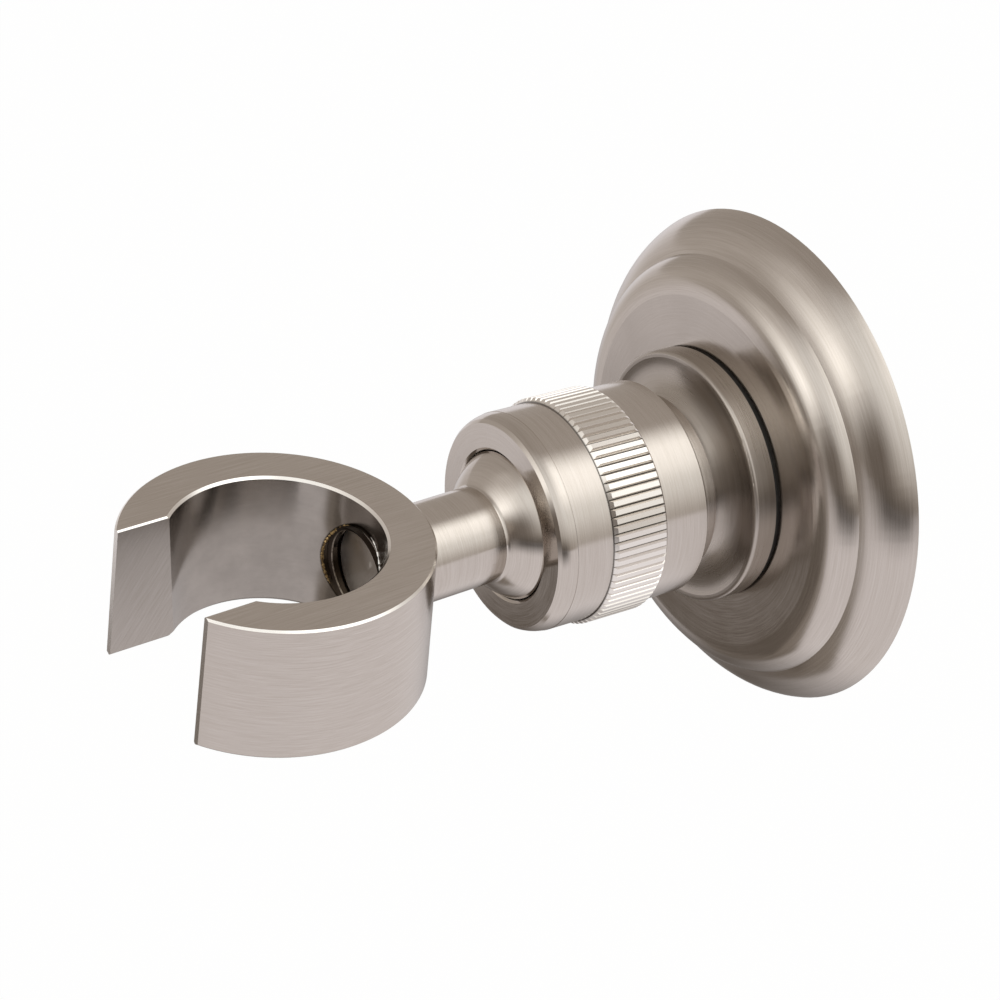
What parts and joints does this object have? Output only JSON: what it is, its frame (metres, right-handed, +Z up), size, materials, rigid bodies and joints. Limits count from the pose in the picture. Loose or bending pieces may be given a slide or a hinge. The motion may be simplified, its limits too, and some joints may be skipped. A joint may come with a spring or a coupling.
{
  "type": "hand shower holder",
  "caption": "Wall-mounted hand shower holder with a round flange, a ball joint clamped by a knurled nut, and a slotted tapered ring cradle.",
  "frame": {"origin": "centre of the flange's back on the wall plane, which is the centre of the screw circle", "axes": "-Y out of the wall along the socket's axis, +Y into the wall, +Z up; at rest the arm is set 4.5 degrees towards +X and 1 degree up, as in the picture, so the cradle's bore leans 1 degree from +Z"},
  "size_m": [0.067, 0.092, 0.067],
  "materials": {
    "flange_nickel": "brushed nickel plate, brushed in circles",
    "collar_nickel": "brushed nickel plate, brushed in circles",
    "socket_nickel": "brushed nickel plate, brushed in circles",
    "nut_nickel": "brushed nickel plate with a straight knurl",
    "stem_nickel": "brushed nickel plate, ball polished",
    "cradle_nickel": "brushed nickel plate, straight brushed top and ends",
    "plate_steel": "bright zinc plate",
    "boss_brass": "plain turned brass",
    "seat_nylon": "natural nylon",
    "gasket_rubber": "matt black rubber",
    "seal_rubber": "matt black rubber"
  },
  "bodies": {
    "wall_mount": {"wall_plate": "plate_steel", "plate_boss": "boss_brass", "wall_seal": "seal_rubber", "flange_cover": "flange_nickel", "collar_gasket": "gasket_rubber", "base_collar": "collar_nickel", "socket_body": "socket_nickel"},
    "nut_seat": {"front_seat": "seat_nylon"},
    "nut": {"clamp_nut": "nut_nickel"},
    "ball_cup": {"rear_seat": "seat_nylon"},
    "stem": {"ball_stem": "stem_nickel"},
    "holder": {"cradle": "cradle_nickel"}
  },
  "joints": [
    {"name": "nut_advance", "type": "slide", "parent": "wall_mount", "child": "nut_seat", "axis": [0, -1, 0], "range_m": [0, 0.0015]},
    {"name": "nut_turn", "type": "hinge", "parent": "nut_seat", "child": "nut", "pos_m": [0, -0.03, 0], "axis": [0, -1, 0], "range_deg": [0, 360]},
    {"name": "ball_swivel", "type": "hinge", "parent": "wall_mount", "child": "ball_cup", "pos_m": [0, -0.0352, 0], "axis": [0, -1, 0], "continuous": true},
    {"name": "ball_tilt", "type": "hinge", "parent": "ball_cup", "child": "stem", "pos_m": [0, -0.0352, 0], "axis": [1, 0, 0], "range_deg": [-18.5, 20.5]},
    {"name": "ball_spin", "type": "hinge", "parent": "stem", "child": "holder", "pos_m": [0, -0.0352, 0], "axis": [0.0784, -0.9968, 0.0175], "continuous": true}
  ],
  "couplings": [
    {"joint": "nut_advance", "follows": "nut_turn", "m_per_rad": 0.00023873}
  ]
}
